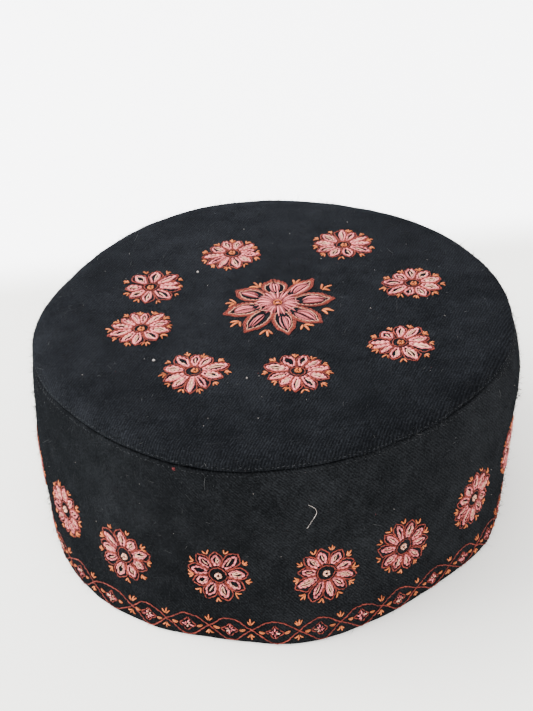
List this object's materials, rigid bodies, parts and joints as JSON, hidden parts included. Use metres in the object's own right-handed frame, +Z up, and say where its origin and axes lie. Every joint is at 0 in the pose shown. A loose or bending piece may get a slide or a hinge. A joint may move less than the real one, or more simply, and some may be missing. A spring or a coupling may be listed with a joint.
{
  "type": "embroidered cap",
  "caption": "Round black wool cap with a flat crown sewn to a straight upright band, open underneath for the head, embroidered with flowers.",
  "frame": {"origin": "on the surface that the cap rests on, under the middle of its outline", "axes": "+Z up through the crown, -Y towards the pictured front, +X to that view's right"},
  "size_m": [0.188, 0.1908, 0.0834],
  "materials": {
    "crown_wool": "matt black wool twill, slightly worn and linty",
    "band_wool": "matt black wool twill on a stiffened backing",
    "rust_thread": "rust-red stranded cotton, soft sheen",
    "orange_thread": "faded orange stranded cotton, soft sheen",
    "pink_thread": "dusty pink stranded cotton, soft sheen",
    "cream_thread": "pale cream-pink stranded cotton, soft sheen",
    "dark_thread": "charcoal sewing thread at the seam"
  },
  "bodies": {
    "root": {"crown_top": "crown_wool", "side_band": "band_wool"}
  },
  "joints": []
}
